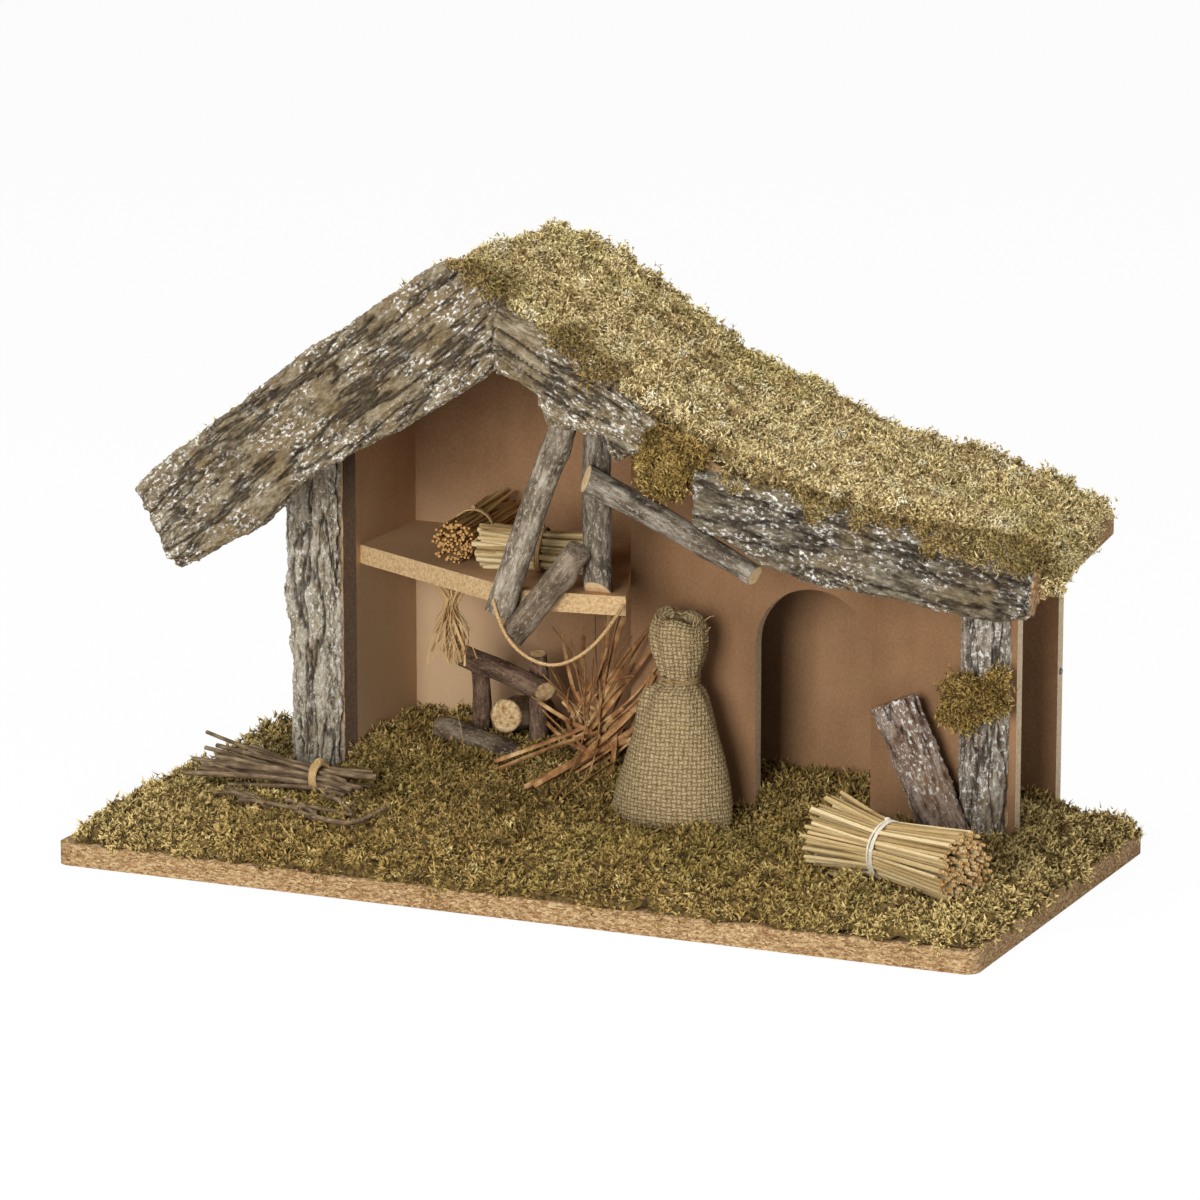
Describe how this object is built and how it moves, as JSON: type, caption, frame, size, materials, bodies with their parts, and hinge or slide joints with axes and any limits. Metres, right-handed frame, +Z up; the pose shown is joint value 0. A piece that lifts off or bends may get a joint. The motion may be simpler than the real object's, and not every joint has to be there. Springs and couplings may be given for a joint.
{
  "type": "nativity stable",
  "caption": "Wooden nativity stable with a hayloft room open to the front, an arched lean-to, a kinked roof edged with bark, moss, straw bundles and a sack.",
  "frame": {"origin": "centre of the base board's underside", "axes": "+X to the right seen from the front, +Y to the back wall, +Z up"},
  "size_m": [0.4001, 0.2, 0.2468],
  "materials": {
    "chipboard": "raw pressed wood chips",
    "painted_board": "matt brown stain on thin board, raw pale edges",
    "bark": "rough grey bark, pale where it is cut",
    "pole_wood": "thin branches with bark on, pale cut ends",
    "ground_moss": "dried olive-tan moss",
    "roof_moss": "dried olive-tan moss",
    "straw": "dry straw",
    "twigs": "thin dry twigs",
    "burlap": "coarse woven jute",
    "cord": "twisted jute and white thread",
    "nail": "dull steel"
  },
  "bodies": {
    "root": {"base_board": "chipboard", "roof_board_left": "chipboard", "roof_board_lower": "chipboard", "roof_board_upper": "chipboard", "loft_floor": "chipboard", "back_wall": "painted_board", "left_side_wall": "painted_board", "front_wall": "painted_board", "partition_wall": "painted_board", "bark_slab_left": "bark", "bark_slab_upper": "bark", "bark_slab_lower": "bark", "left_bark_post": "bark", "right_bark_post": "bark", "leaning_log": "bark", "long_pole": "pole_wood", "loft_strut": "pole_wood", "loft_stand": "pole_wood", "roof_brace": "pole_wood", "rack_post_left": "pole_wood", "rack_post_right": "pole_wood", "rack_rail_top": "pole_wood", "rack_rail_bottom": "pole_wood", "rack_log": "pole_wood", "moss_apron": "ground_moss", "moss_heap": "ground_moss", "moss_lean_to": "ground_moss", "roof_moss_left": "roof_moss", "roof_moss_right": "roof_moss", "moss_drape": "roof_moss", "moss_clump": "roof_moss", "shelf_bundle_front": "straw", "shelf_bundle_side": "straw", "ground_bundle": "straw", "rack_hay": "straw", "hay_tuft": "straw", "twig_bundle": "twigs", "sack": "burlap", "shelf_bundle_front_tie": "cord", "shelf_bundle_side_tie": "cord", "ground_bundle_tie": "cord", "twig_bundle_tie": "cord", "sack_tie": "cord", "twine": "cord", "wall_nail": "nail"}
  },
  "joints": []
}
